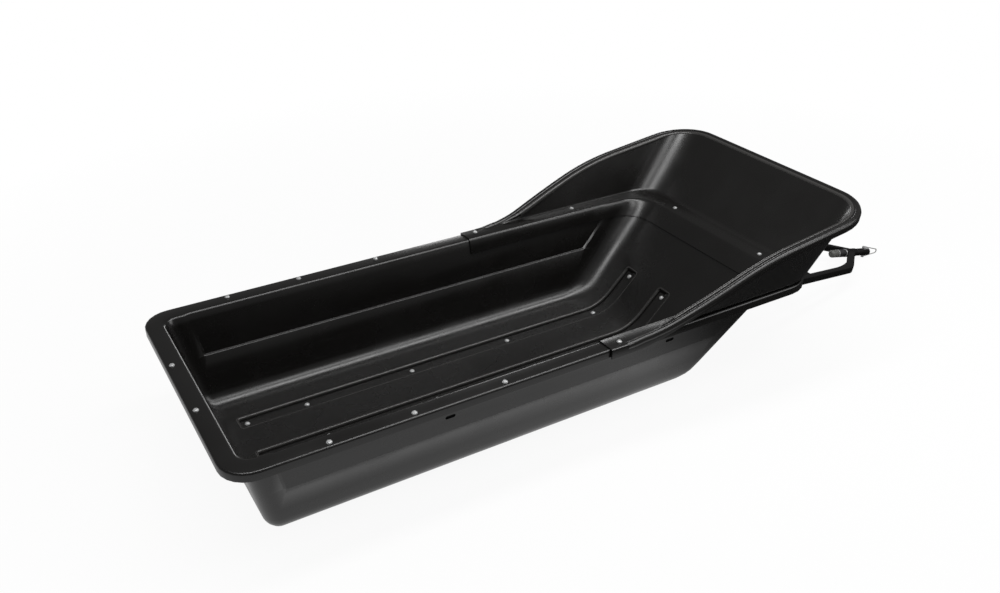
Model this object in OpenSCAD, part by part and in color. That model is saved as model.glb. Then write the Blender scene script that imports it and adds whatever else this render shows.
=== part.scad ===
// Towed snow sled: a moulded tub, a high-nosed cowl screwed over its front half,
// wear runners under the floor and an A-shaped steel tongue with a cushioned swivel coupler.
// X runs forward, Y to the left and Z up. Z is 0 at the ground and X is 0 half way along.

/* [Tub] */
// Length over the rim
tub_l = 1992; // [1700:1:2300]
// Width over the rim
tub_w = 900; // [820:1:1000]
// Depth from the rim's top face to the floor
tub_depth = 315; // [280:1:360]
// Sheet thickness of the tub
tub_t = 5; // [4:0.5:7]
// Width of the flat rim at the sides and the rear
rim_w = 56; // [50:1:64]
// Width of the flat rim at the front
front_rim_w = 76; // [60:1:84]
// Height of the rim's turned-down lip
rim_lip_h = 26; // [20:1:34]
// Outer corner radius of the rim at the rear
rim_corner_r = 85; // [70:1:100]
// Outer corner radius of the rim at the front
rim_nose_r = 120; // [100:1:140]
// Corner radius between the side and rear walls
wall_corner_r = 40; // [30:1:50]
// Corner radius between the side walls and the ramp
ramp_corner_r = 100; // [70:1:110]
// Radius where a wall turns into the rim
rim_bend_r = 12; // [9:1:16]
// Radius where the rim turns down into its lip
lip_bend_r = 7; // [6:0.5:12]
// Lean of the side walls from upright
side_lean = 9; // [6:0.5:12]
// Lean of the rear wall from upright
rear_lean = 11.3; // [6:0.1:14]
// Slope of the front ramp from level
ramp_slope = 44.5; // [38:0.1:50]
// Radius between the floor and the side and rear walls
bilge_r = 60; // [45:1:70]
// Radius between the floor and the ramp
ramp_r = 160; // [120:5:200]

/* [Side panels] */
// How far the upper side panel bulges outward
panel_bulge = 6; // [3:0.5:9]
// Height of the panel's lower step above the floor
panel_z = 161; // [140:1:190]
// Height over which the step blends
panel_step_h = 12; // [8:1:20]
// Distance from the rear wall to the panel
panel_rear_gap = 62; // [50:1:90]
// Distance from the ramp to the panel
panel_front_gap = 130; // [110:5:170]
// Length over which the panel's ends blend
panel_end_l = 24; // [16:1:36]

/* [Side recesses] */
// Length of a moulded recess in the side wall's outer face
recess_l = 32; // [20:1:40]
// Height of a recess
recess_h = 12; // [7:1:14]
// Depth of a recess
recess_d = 3; // [2:0.5:3.5]
// Distance of the recesses below the rim's top face
recess_drop = 92; // [60:1:110]
// Distance from the rear rim to the rear recesses
recess_rear_x = 640; // [500:1:700]
// Distance from the rear rim to the front recesses
recess_front_x = 1421; // [1300:1:1450]

/* [Floor channels and runners] */
// Distance between the centre lines of neighbouring channels
channel_pitch = 189; // [160:1:200]
// Width of a channel seen from inside
channel_w = 57; // [44:1:64]
// Corner radius of a channel's ends
channel_end_r = 9; // [6:1:16]
// Depth of a channel below the floor
channel_d = 10; // [7:0.5:14]
// Distance from the rear rim to the rear end of the channels
channel_rear_x = 192; // [180:1:240]
// Length of the channels up the ramp, from where floor and ramp planes meet
channel_ramp_l = 180; // [150:5:220]
// Width of a wear runner
runner_w = 44; // [34:1:52]
// Thickness of a wear runner
runner_t = 6; // [4:0.5:10]
// Distance from a channel's end to its runner's end
runner_end_gap = 8; // [4:1:14]

/* [Cowl] */
// Sheet thickness of the cowl
cowl_t = 4; // [3:0.5:5]
// Distance from the rear rim to the cowl's rear edge
cowl_rear_x = 1136; // [1080:1:1200]
// Depth of the cowl's skirt below the rim's top face
skirt_h = 50; // [40:1:60]
// Height of the nose edge above the rim's top face
nose_h = 218; // [180:1:240]
// How far the nose edge reaches past the front of the rim
nose_reach = 199; // [180:1:260]
// How far the cowl's edge stands outside the rim at each side
cowl_side_reach = 42; // [30:1:50]
// Corner radius of the nose in plan
nose_corner_r = 165; // [120:5:180]
// Width of the cowl's own flat edge at the sides
cowl_rim_w = 34; // [26:1:40]
// Width of the cowl's own flat edge at the nose
nose_rim_w = 24; // [18:1:30]
// Height of the cowl's turned-down lip
cowl_lip_h = 24; // [18:1:30]
// Distance from the rear rim to where the cowl's edge starts to rise
rise_x = 1298; // [1260:1:1340]
// Slope of the rising edge, as height over length
rise_slope = 0.383; // [0.3:0.001:0.46]
// Slope of the upper edge towards the nose
crest_slope = 0.13; // [0.06:0.005:0.16]

/* [Tongue] */
// Distance between the two tongue brackets
bracket_span = 524; // [460:2:540]
// Height of the brackets' centre above the floor
bracket_z = 230; // [200:1:236]
// Distance of the hinge from the ramp's outer face
hinge_off = 32; // [28:1:40]
// Thickness of the bracket steel
bracket_t = 5; // [4:0.5:6]
// Length of a bracket's base along the ramp
bracket_l = 92; // [80:1:110]
// Width of a bracket's base
bracket_w = 72; // [64:1:80]
// Radius of a bracket's ear round the hinge
ear_r = 18; // [16:1:22]
// Clear width between the ears
ear_gap = 38; // [36:1:42]
// Diameter of the hinge bolts
hinge_d = 12; // [10:1:14]
// Side of the square tongue tube
arm_s = 25; // [22:1:28]
// Wall of the tongue tube
arm_wall = 2; // [1.5:0.5:3]
// Distance from the hinge to the arms' bend, along the tongue
bend_u = 710; // [650:1:750]
// Distance between the arms at their bend
bend_span = 286; // [250:2:310]
// Radius of the arms' outer face at their bend
bend_r = 95; // [60:1:120]
// Radius of the arms' filled inner face at their bend
gusset_r = 380; // [300:10:420]
// Distance from the hinge to the point where the front legs meet
apex_u = 894; // [860:1:930]
// Distance from the hinge to the middle of the brace between the arms
brace_u = 420; // [380:1:460]

/* [Coupler] */
// Diameter of the swivel shaft
shaft_d = 20; // [16:1:22]
// Outer diameter of the swivel sleeve
sleeve_d = 34; // [32:1:38]
// Length of the swivel sleeve
sleeve_l = 62; // [54:1:70]
// Outer diameter of the rubber cushion
cushion_d = 32; // [28:1:36]
// Length of the rubber cushion
cushion_l = 42; // [36:1:48]
// Thickness of the washers at the cushion's ends
washer_t = 3; // [2:0.5:4]
// Length of the end cap behind the cushion
cap_l = 40; // [34:1:46]
// Diameter of the coupler tube
coupler_d = 30; // [28:1:32]
// Length of the coupler tube in front of the sleeve
coupler_l = 84; // [76:1:92]
// Diameter of the hitch pin
pin_d = 12; // [10:1:14]
// Distance from the hitch pin to the coupler tube's front end
pin_back = 22; // [18:1:26]
// How far the hitch pin stands out below the coupler tube
pin_stub = 8; // [6:0.5:10]
// Diameter of the hitch pin's head
pin_head_d = 24; // [20:1:28]
// Diameter of the hitch pin's locking wire
wire_d = 4; // [3:0.5:5]
// How far the locking wire loops in front of the hitch pin
wire_reach = 84; // [76:1:92]
// Radius at the tip of the locking wire
wire_tip_r = 9; // [7:1:11]

/* [Hidden] */

// Facets round the arms' bend
bend_steps = 8;
// Gap between pieces that seat on each other, and round a shaft in its bore
seat_gap = 0.3;
bore_gap = 0.1;
// Gap between the cowl's skirt and the tub's wall
skirt_gap = 1.2;
// Sink of a welded or moulded form into the sheet that carries it
bond = 0.5;
eps = 0.01;
round_fn = 64;

// Heights above the ground
floor_z = tub_t + channel_d + seat_gap + runner_t;
rim_z = floor_z + tub_depth;

// Wall foot lines of the cavity at floor level, measured from the middle and the rear rim
half_foot = tub_w / 2 - rim_w - tub_depth * tan(side_lean) - panel_bulge - 1;
rear_foot = rim_w + tub_depth * tan(rear_lean);
front_foot = tub_l - front_rim_w - tub_depth / tan(ramp_slope);
ramp_lean = 90 - ramp_slope;
front_mid = (rear_foot + front_foot) / 2;

// Hinge axis of the tongue: bracket_z up the ramp and hinge_off out from its outer face
ramp_off = tub_t + hinge_off;
hinge_x = front_foot + bracket_z / tan(ramp_slope) + ramp_off * sin(ramp_slope);
hinge_z = floor_z + bracket_z - ramp_off * cos(ramp_slope);

// Places along the tongue, measured from the hinge
sleeve_u0 = apex_u - sleeve_l / 2 - 12;
sleeve_u1 = sleeve_u0 + sleeve_l;
washer_front_u = sleeve_u0 - seat_gap - washer_t;
cushion_u = washer_front_u - cushion_l;
washer_rear_u = cushion_u - washer_t;
cap_u = washer_rear_u - cap_l;
coupler_u0 = sleeve_u1 + seat_gap;
coupler_u1 = coupler_u0 + coupler_l;
pin_u = coupler_u1 - pin_back;
pin_low = coupler_d / 2 + pin_stub;
pin_high = coupler_d / 2 + seat_gap;

// The tongue droops until the hitch pin's foot or the locking wire's tip meets the ground
foot_u = pin_u + pin_d / 2;
tip_r = wire_tip_r + wire_d / 2;
tip_u = pin_u + wire_reach - tip_r;
tongue_drop = min(asin(hinge_z / norm([foot_u, pin_low])) - atan2(pin_low, foot_u),
                  asin((hinge_z - tip_r) / tip_u));

overall_l = hinge_x + tip_u * cos(tongue_drop) + tip_r;
mid_x = overall_l / 2;

// Angles of the two straight stretches of an arm, seen from above
arm_turn = atan2((bracket_span - bend_span) / 2, bend_u);
leg_turn = atan2(bend_span / 2, apex_u - bend_u);

// A blend from 0 to 1 with level ends
function ease(t) = let (c = min(1, max(0, t))) c * c * (3 - 2 * c);

// Outward place of a wall at height z above the floor, for a sheet face that lies
// off outside the cavity's face. The wall starts at foot, leans by lean from upright,
// meets the floor in radius r and turns into the rim in the rim's bend radius.
function wall_at(z, off, foot, r, lean) =
    let (zz = z + off, rr = r + off,
         foot_off = foot + off * tan((90 - lean) / 2),
         bend_x = foot + tub_depth * tan(lean) + rim_bend_r * tan((90 - lean) / 2),
         br = rim_bend_r - off,
         bend_z = tub_depth - rim_bend_r)
    zz < rr * (1 - sin(lean))
    ? foot_off - rr * tan((90 - lean) / 2) + sqrt(max(0, rr * rr - (rr - zz) * (rr - zz)))
    : z > bend_z + br * sin(lean)
    ? bend_x - sqrt(max(0, br * br - (z - bend_z) * (z - bend_z)))
    : foot_off + zz * tan(lean);

// The side panel's bulge at distance x from the rear rim and height z above the floor
function bulge_at(x, z) =
    panel_bulge * ease((z - panel_z) / panel_step_h)
    * ease((x - rear_edge(z) - panel_rear_gap) / panel_end_l)
    * ease((front_edge(z) - panel_front_gap - x) / panel_end_l);
function rear_edge(z) = rear_foot - max(0, z) * tan(rear_lean);
function front_edge(z) = front_foot + max(0, z) / tan(ramp_slope);

// Corner radius r of the cavity's walls at height z: it shrinks in the floor's fillet
least_corner_r = 8;
function wall_corner(z, off, r) =
    let (lost = half_foot + max(0, z) * tan(side_lean) - wall_at(z, 0, half_foot, bilge_r, side_lean))
    max(least_corner_r, r + off - max(0, lost) * (z < tub_depth / 2 ? 1 : 0));

// Stations round a closed loop. Corner stations are turned in equal steps, and the long
// sides have extra stations where the side panel's ends blend.
corner_steps = 6;
side_stops = [0, 0.5, 1];
function corner(cx, cy, r, from, turn) =
    [for (i = [0:corner_steps])
        let (a = from + turn * i / corner_steps) [cx + r * cos(a), cy + r * sin(a)]];

// A loop from its ends xr and xf, half width w, corner radii and the points of its left side
function loop_of(xr, xf, w, cr, cf, left) =
    concat(corner(xr + cr, -w + cr, cr, 180, 90), [for (p = left) [p[0], -p[1]]],
           corner(xf - cf, -w + cf, cf, 270, 90),
           corner(xf - cf, w - cf, cf, 0, 90), [for (i = [len(left) - 1:-1:0]) left[i]],
           corner(xr + cr, w - cr, cr, 90, 90));

// Places of the stations on a long side, from the rear corner to the front one
function side_xs(z) =
    let (a = rear_edge(z) + panel_rear_gap, b = front_edge(z) - panel_front_gap)
    concat([for (s = side_stops) a + s * panel_end_l],
           [b - 4 * panel_end_l, b - 2.5 * panel_end_l],
           [for (s = side_stops) b - panel_end_l + s * panel_end_l]);

// One loop of the tub at height z above the floor, off outside the cavity's face
function cavity_loop(z, off, at_z) =
    let (w = wall_at(z, off, half_foot, bilge_r, side_lean),
         xr = rear_foot + front_mid - wall_at(z, off, front_mid, bilge_r, rear_lean),
         xf = wall_at(z, off, front_foot, ramp_r, ramp_lean),
         cr = wall_corner(z, off, wall_corner_r),
         cf = wall_corner(z, off, ramp_corner_r),
         zs = min(tub_depth, max(0, z)),
         out = [for (x = side_xs(zs)) [x, w + bulge_at(x, zs)]])
    [for (p = loop_of(xr, xf, w, cr, cf, out)) [p[0], p[1], at_z]];

// One loop of the rim at height z above the floor, inset from its outer edge
function rim_loop(inset, z, at_z) =
    let (w = tub_w / 2 - inset, out = [for (x = side_xs(tub_depth)) [x, w]])
    [for (p = loop_of(inset, tub_l - inset, w, rim_corner_r - inset, rim_nose_r - inset, out))
        [p[0], p[1], at_z]];

// Heights of the loops up the cavity: through the floor's fillet, up the wall past the
// side panel's step, and round the bend into the rim
fillet_turns = [0, 14, 28, 42, 56, 70, 84];
bend_turns = [30, 50, 70, 90];
function fillet_z(off) =
    [for (a = fillet_turns) (bilge_r + off) * (1 - cos(a)) - off];
function bend_z(off) =
    [for (a = bend_turns)
        tub_depth - rim_bend_r + (rim_bend_r - off) * sin(a)];
function wall_levels(off) =
    concat(fillet_z(off),
           [panel_z * 0.55],
           [for (s = [0, 0.35, 0.65, 1]) panel_z + s * panel_step_h],
           [tub_depth - 2.5 * rim_bend_r],
           [for (z = bend_z(off)) z]);

// Loops round the rim's lip, as [inset from the outer edge, depth below the rim's top]
lip_turns = [0, 30, 60, 90];
function lip_out() =
    concat([for (a = lip_turns) [lip_bend_r * (1 - sin(a)), lip_bend_r * (1 - cos(a))]],
           [[0, rim_lip_h]]);
function lip_back() =
    concat([[tub_t, rim_lip_h]],
           [for (i = [len(lip_turns) - 1:-1:0])
               let (a = lip_turns[i])
               [lip_bend_r - (lip_bend_r - tub_t) * sin(a),
                lip_bend_r - (lip_bend_r - tub_t) * cos(a)]]);

function reversed(v) = [for (i = [len(v) - 1:-1:0]) v[i]];

// A closed skin through a list of loops with as many points each. Point i of a loop lies
// opposite point n - 1 - i, so the two ends are closed by strips across the loop.
module skin(loops) {
    n = len(loops[0]);
    m = len(loops);
    points = [for (l = loops) for (p = l) p];
    last = [for (i = [0:n / 2 - 2]) [for (k = [i, i + 1, n - 2 - i, n - 1 - i]) (m - 1) * n + k]];
    first = [for (i = [0:n / 2 - 2]) [n - 1 - i, n - 2 - i, i + 1, i]];
    sides = [for (j = [0:m - 2]) for (i = [0:n - 1])
        [j * n + i, j * n + (i + 1) % n, (j + 1) * n + (i + 1) % n, (j + 1) * n + i]];
    polyhedron(points, concat(first, sides, last), convexity = 8);
}

// Side outline of a channel's floor: a band that follows floor and ramp, from face a to
// face b, both measured outward from the cavity's face, with its ends set back by inset
ramp_steps = 8;
function band_line(d, inset) =
    let (r = ramp_r + d, cx = front_foot - ramp_r * tan(ramp_slope / 2), end = channel_ramp_l - inset)
    concat([[channel_rear_x + inset, -d]],
           [for (i = [0:ramp_steps])
               let (a = ramp_slope * i / ramp_steps) [cx + r * sin(a), ramp_r - r * cos(a)]],
           [[front_foot + end * cos(ramp_slope) + d * sin(ramp_slope),
             end * sin(ramp_slope) - d * cos(ramp_slope)]]);

module band(a, b, w, inset) {
    translate([0, w / 2, floor_z])
        rotate([90, 0, 0])
            linear_extrude(height = w)
                polygon(concat(band_line(a, inset), reversed(band_line(b, inset))));
}

// Plan outline of a channel with rounded corners, as a tall block to cut the band with
module channel_plan(w, inset, r) {
    x0 = channel_rear_x + inset;
    x1 = front_foot + (channel_ramp_l - inset) * cos(ramp_slope);
    translate([0, 0, floor_z - 2 * channel_d - tub_t])
        linear_extrude(height = tub_depth) {
            translate([x0, r - w / 2]) square([x1 - x0, w - 2 * r]);
            translate([x0 + r, -w / 2]) square([x1 - x0 - 2 * r, w]);
            for (x = [x0 + r, x1 - r], y = [r - w / 2, w / 2 - r])
                translate([x, y]) circle(r = r, $fn = round_fn);
        }
}

module channel_cut() {
    intersection() {
        band(-channel_d, channel_d, channel_w, 0);
        channel_plan(channel_w, 0, channel_end_r);
    }
}

module channel_body() {
    intersection() {
        band(tub_t - bond, tub_t + channel_d, channel_w + 2 * tub_t, -tub_t);
        channel_plan(channel_w + 2 * tub_t, -tub_t, channel_end_r + tub_t);
    }
}

channels = [-1, 0, 1];

// Cuts a recess into the outer face of a side wall, square to the leaning wall
module side_recess(x, side) {
    z = tub_depth - recess_drop;
    out = wall_at(z, tub_t, half_foot, bilge_r, side_lean) + bulge_at(x, z);
    mirror([0, side > 0 ? 0 : 1, 0])
        translate([x, out, floor_z + z]) rotate([-90 - side_lean, 0, 0])
            translate([0, 0, -recess_d]) linear_extrude(height = 2 * recess_h) {
                square([recess_l - recess_h, recess_h], center = true);
                for (s = [-1, 1]) translate([s * (recess_l - recess_h) / 2, 0])
                    circle(d = recess_h, $fn = round_fn);
            }
}

module tub_shell() {
    inner = [for (z = wall_levels(0)) cavity_loop(z, 0, floor_z + z)];
    outer = [for (z = wall_levels(tub_t)) cavity_loop(z, tub_t, floor_z + z)];
    out = [for (l = lip_out()) rim_loop(l[0], tub_depth, rim_z - l[1])];
    back = [for (l = lip_back()) rim_loop(l[0], tub_depth, rim_z - l[1])];
    skin(concat(inner, out, back, reversed(outer)));
}

module tub() {
    color("#1b1b1c") place() difference() {
        union() {
            tub_shell();
            for (c = channels) translate([0, c * channel_pitch, 0]) channel_body();
        }
        for (c = channels) translate([0, c * channel_pitch, 0]) channel_cut();
        for (x = [recess_rear_x, recess_front_x], side = [-1, 1]) side_recess(x, side);
    }
}

runner_top = tub_t + channel_d + seat_gap;
module runner(c) {
    color("#161617") place() translate([0, c * channel_pitch, 0])
        band(runner_top, runner_top + runner_t, runner_w, runner_end_gap);
}

// Height of the cowl's edge above its ledge at distance x from the rear rim: level, then
// rising, then gently rising to the nose, with the two knees blended over a length
knee_a = 90;
knee_b = 110;
crest_x = (nose_h - crest_slope * (tub_l + nose_reach) + rise_slope * rise_x) / (rise_slope - crest_slope);
function cowl_rise(x) =
    x < rise_x - knee_a ? 0
    : x < rise_x + knee_a ? rise_slope * pow(x - rise_x + knee_a, 2) / (4 * knee_a)
    : x < crest_x - knee_b ? rise_slope * (x - rise_x)
    : x < crest_x + knee_b
    ? rise_slope * (x - rise_x) - (rise_slope - crest_slope) * pow(x - crest_x + knee_b, 2) / (4 * knee_b)
    : rise_slope * (crest_x - rise_x) + crest_slope * (x - crest_x);

// Stations along one half of the cowl: [kind, place], with kind 0 on the side, 1 round
// the corner and 2 on the front, and the place from 0 to 1 within it
cowl_side_steps = 20;
cowl_corner_steps = 9;
cowl_front_steps = 2;
half_stations = concat(
    [for (i = [0:cowl_side_steps - 1]) [0, i / cowl_side_steps]],
    [for (i = [0:cowl_corner_steps - 1]) [1, i / cowl_corner_steps]],
    [for (i = [0:cowl_front_steps]) [2, i / cowl_front_steps]]);

// Place of a station on a U-shaped path of half width w, front edge xf and corner radius c
function u_path(s, w, xf, c) =
    s[0] == 0 ? [cowl_rear_x + (xf - c - cowl_rear_x) * s[1], w]
    : s[0] == 1 ? [xf - c + c * sin(90 * s[1]), w - c + c * cos(90 * s[1])]
    : [xf, (w - c) * (1 - s[1])];

// One point of the cowl's skirt, which follows the tub's wall at height z, off outside it,
// and leaves the side panel's bulge a little before the panel's front end
skirt_lead = 2 * panel_end_l;
function skirt_point(s, z, off) =
    let (zs = min(tub_depth, z),
         w = wall_at(z, off, half_foot, bilge_r, side_lean),
         xf = wall_at(z, off, front_foot, ramp_r, ramp_lean),
         c = wall_corner(z, off, ramp_corner_r),
         p = u_path(s, w, xf, c))
    [p[0], p[1] + (s[0] == 0 ? bulge_at(p[0] + skirt_lead, zs) : 0), floor_z + z];

// One point of the cowl outside the ledge's inner bend: out at the sides and ahead at
// the nose, both measured from the rim's outer edge
function edge_point(s, side_out, nose_out, c, z) =
    let (p = u_path(s, tub_w / 2 + side_out, tub_l + nose_out, c)) [p[0], p[1], z];

// Face of the cowl's ledge that lies on the rim, and how far its wall stands inside the edge
ledge_z = rim_z + seat_gap;
foot_in = 14;

// Side view of the cowl beyond its ledge, as rows [out at the side, ahead at the nose,
// height, corner radius], for an edge that stands h above the ledge
function cowl_rows(h) =
    let (k = min(1, h / 30),
         side = 8.5 + (cowl_side_reach - 8.5) * (1 - pow(1 - min(1, h / 160), 2)),
         f = 8 * k + 0.5,
         low = ledge_z + cowl_t,
         top = low + h,
         rim_side = side - cowl_rim_w * k - 9 * (1 - k),
         rim_nose = nose_reach - nose_rim_w,
         c = nose_corner_r,
         cf = rim_nose_r - foot_in,
         lip = cowl_lip_h * k + (rim_lip_h + 2 + seat_gap + cowl_t) * (1 - k))
    [[-foot_in - f, -foot_in - f, low, cf],
     [-foot_in + 1, -foot_in + 1 + 0.5 * f, low + f * 0.35 * k, cf],
     [-foot_in + 4, -foot_in + 4 + 1.2 * f, low + f * k, cf],
     [rim_side - 2, rim_nose - 1.4 * f, top - f * k, c - cowl_rim_w],
     [rim_side + 1, rim_nose - 0.4 * f, top - f * 0.3 * k, c - cowl_rim_w + 2],
     [rim_side + f + 1, rim_nose + f * 0.8, top, c - cowl_rim_w + 8],
     [side - 6, nose_reach - 6, top, c - 6],
     [side - 1.8, nose_reach - 1.8, top - 1.8, c - 1.8],
     [side, nose_reach, top - 6, c],
     [side, nose_reach, top - lip, c]];

function upper_face(s) =
    let (rim_p = u_path(s, tub_w / 2 + cowl_side_reach, tub_l + nose_reach, nose_corner_r))
    concat(
        [for (z = [tub_depth - skirt_h, tub_depth - 2.5 * rim_bend_r])
            skirt_point(s, z, -skirt_gap - cowl_t)],
        [for (a = [30, 55, 80])
            skirt_point(s, tub_depth - rim_bend_r
                        + (rim_bend_r + seat_gap + cowl_t) * sin(a), -skirt_gap - cowl_t)],
        [for (r = cowl_rows(cowl_rise(rim_p[0]))) edge_point(s, r[0], r[1], r[3], r[2])]);

function mirrored(p) = [p[0], -p[1], p[2]];
function unit(v) = v / max(eps * eps, norm(v));

// Surface normals of a grid of points, from its neighbours along and across
function grid_normal(g, i, j) =
    let (a = g[min(len(g) - 1, i + 1)][j] - g[max(0, i - 1)][j],
         b = g[i][min(len(g[0]) - 1, j + 1)] - g[i][max(0, j - 1)])
    unit(cross(a, b));

// A sheet of even thickness t under an open grid of points
module sheet(g, t) {
    rows = len(g);
    cols = len(g[0]);
    back = [for (i = [0:rows - 1]) [for (j = [0:cols - 1]) g[i][j] - t * grid_normal(g, i, j)]];
    loops = [for (i = [0:rows - 1]) concat(g[i], reversed(back[i]))];
    skin(loops);
}

module cowl() {
    half = [for (s = half_stations) upper_face(s)];
    other = [for (i = [len(half) - 2:-1:0]) [for (p = half[i]) mirrored(p)]];
    color("#1c1c1d") place() sheet(concat(half, other), cowl_t);
}

// Local frame of a bracket: X up the ramp, Z into the sled, origin on the ramp's outer face
module on_ramp(side) {
    translate([hinge_x - hinge_off * sin(ramp_slope), side * bracket_span / 2,
               hinge_z + hinge_off * cos(ramp_slope)])
        rotate([0, -ramp_slope, 0])
            children();
}

module cross_rod(d, l) {
    rotate([90, 0, 0]) cylinder(d = d, h = l, center = true, $fn = round_fn);
}

module bracket(side) {
    ear_y = ear_gap / 2;
    color("#202022") place() on_ramp(side) difference() {
        union() {
            translate([-bracket_l / 2, -bracket_w / 2, -bracket_t - seat_gap])
                cube([bracket_l, bracket_w, bracket_t]);
            for (s = [-1, 1]) translate([0, s * (ear_y + bracket_t / 2), 0]) {
                translate([-ear_r, -bracket_t / 2, -hinge_off])
                    cube([2 * ear_r, bracket_t, hinge_off - seat_gap - eps]);
                translate([0, 0, -hinge_off]) cross_rod(2 * ear_r, bracket_t);
            }
        }
        translate([0, 0, -hinge_off]) cross_rod(hinge_d + 2 * bore_gap, 2 * bracket_w);
    }
}

module hinge_bolt(side) {
    grip = ear_gap + 2 * bracket_t;
    head = 8;
    color("#b9bbbd") place() on_ramp(side) translate([0, 0, -hinge_off]) {
        cross_rod(hinge_d, grip + 2 * head);
        for (s = [-1, 1]) translate([0, s * (grip / 2 + seat_gap + head / 2), 0])
            cross_rod(1.7 * hinge_d, head);
    }
}

// The tongue's frame: X runs along the tongue from the hinge axis
module on_tongue() {
    translate([hinge_x, 0, hinge_z]) rotate([0, tongue_drop, 0]) children();
}

bushing_d = hinge_d + 14;
bushing_l = ear_gap - 2 * seat_gap;

// Points of an arc round a plan point, from one heading of its normal to another
function turned(at, radius, from, to) =
    [for (i = [0:bend_steps]) let(a = from + (to - from) * i / bend_steps)
        at + radius * [sin(a), cos(a)]];

// Plan outline of an arm, drawn inset from the tube's faces: from rear_l behind the bend,
// round the bend and its filled inner corner, to past beyond the apex
module arm_plan(inset, rear_l, past) {
    w = arm_s / 2 - inset;
    half = (leg_turn - arm_turn) / 2;
    bend = [bend_u, bend_span / 2];
    rear = bend + rear_l * [-cos(arm_turn), sin(arm_turn)];
    front = [apex_u, 0] + past * [cos(leg_turn), -sin(leg_turn)];
    na = w * [sin(arm_turn), cos(arm_turn)];
    nb = w * [sin(leg_turn), cos(leg_turn)];
    middle = [sin(arm_turn + half), cos(arm_turn + half)] / cos(half);
    outer = turned(bend + (arm_s / 2 - bend_r) * middle, bend_r - inset, arm_turn, leg_turn);
    inner = turned(bend - (arm_s / 2 + gusset_r) * middle, gusset_r + inset, leg_turn, arm_turn);
    polygon(concat([rear + na], outer, [front + nb, front - nb], inner, [rear - na]));
}

module arm(side) {
    long = norm([bend_u, (bracket_span - bend_span) / 2]);
    bore_l = arm_s - 2 * arm_wall;
    hinge_at = [0, bracket_span / 2, 0];
    color("#1d1d1f") place() on_tongue() mirror([0, side > 0 ? 0 : 1, 0]) difference() {
        union() {
            translate([0, 0, -arm_s / 2]) linear_extrude(height = arm_s) arm_plan(0, long, 0);
            translate(hinge_at) cross_rod(bushing_d, bushing_l);
        }
        translate([0, 0, -bore_l / 2]) linear_extrude(height = bore_l)
            arm_plan(arm_wall, long - bushing_d, arm_s);
        translate(hinge_at) cross_rod(hinge_d + 2 * bore_gap, 2 * bushing_l);
        translate([sleeve_u0 - arm_s, 0, 0]) rotate([0, 90, 0])
            cylinder(d = sleeve_d + 2 * seat_gap, h = sleeve_l + 2 * arm_s, $fn = round_fn);
    }
}

// Half the room between the arms' inner faces at a distance from the hinge
function half_room(u) = bend_span / 2 + (bend_u - u) * tan(arm_turn)
                        - arm_s / 2 / cos(arm_turn) - seat_gap;

// Plan outline of the brace, mitred to the arms' inner faces
module brace_plan() {
    ends = [brace_u - arm_s / 2, brace_u + arm_s / 2];
    polygon([for (s = [1, -1]) [ends[0], s * half_room(ends[0])],
             for (s = [-1, 1]) [ends[1], s * half_room(ends[1])]]);
}

module cross_brace() {
    color("#1d1d1f") place() on_tongue() difference() {
        translate([0, 0, -arm_s / 2]) linear_extrude(height = arm_s) brace_plan();
        translate([brace_u - arm_s / 2 + arm_wall, -bracket_span / 2, arm_wall - arm_s / 2])
            cube([arm_s - 2 * arm_wall, bracket_span, arm_s - 2 * arm_wall]);
    }
}

module rod_along(u0, u1, d) {
    translate([u0, 0, 0]) rotate([0, 90, 0]) cylinder(d = d, h = u1 - u0, $fn = round_fn);
}

module swivel_sleeve() {
    color("#1d1d1f") place() on_tongue() difference() {
        rod_along(sleeve_u0, sleeve_u1, sleeve_d);
        rod_along(sleeve_u0 - 1, sleeve_u1 + 1, shaft_d + 2 * bore_gap);
    }
}

module swivel_shaft() {
    color("#8d8f92") place() on_tongue()
        rod_along(washer_rear_u - cap_l / 2, coupler_u0 + seat_gap + coupler_d / 2, shaft_d);
}

module ring_along(u0, u1, d) {
    color("#8d8f92") place() on_tongue() difference() {
        rod_along(u0, u1, d);
        rod_along(u0 - 1, u1 + 1, shaft_d + 2 * bore_gap);
    }
}

module washer_front() {
    ring_along(washer_front_u, washer_front_u + washer_t, sleeve_d);
}

module washer_rear() {
    ring_along(washer_rear_u, washer_rear_u + washer_t, cushion_d);
}

module cushion() {
    bead = 3;
    color("#232324") place() on_tongue() translate([cushion_u, 0, 0]) rotate([0, 90, 0])
        rotate_extrude($fn = round_fn)
            polygon([[shaft_d / 2 + bore_gap, seat_gap],
                     [cushion_d / 2 - bead, seat_gap],
                     [cushion_d / 2, bead],
                     [cushion_d / 2, cushion_l - bead],
                     [cushion_d / 2 - bead, cushion_l - seat_gap],
                     [shaft_d / 2 + bore_gap, cushion_l - seat_gap]]);
}

module end_cap() {
    r = cushion_d / 2 - 0.5;
    dome = 10;
    color("#8a8b88") place() on_tongue() translate([cap_u, 0, 0]) rotate([0, 90, 0])
        rotate_extrude($fn = round_fn)
            difference() {
                union() {
                    translate([0, dome]) square([r, cap_l - dome - seat_gap]);
                    intersection() {
                        square([r, dome]);
                        translate([r - dome, dome]) circle(r = dome, $fn = round_fn);
                    }
                    square([r - dome, dome]);
                }
                translate([0, cap_l / 2 - seat_gap]) square([shaft_d / 2 + bore_gap, cap_l]);
            }
}

module coupler_tube() {
    shaft_end = coupler_u0 + seat_gap + coupler_d / 2 + seat_gap;
    tube_wall = 5;
    color("#232325") place() on_tongue() difference() {
        rod_along(coupler_u0, coupler_u1, coupler_d);
        rod_along(coupler_u0 - 1, shaft_end, shaft_d + 2 * bore_gap);
        rod_along(pin_u - pin_back, coupler_u1 + 1, coupler_d - 2 * tube_wall);
        translate([pin_u, 0, -coupler_d])
            cylinder(d = pin_d + 2 * bore_gap, h = 2 * coupler_d, $fn = round_fn);
    }
}

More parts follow.
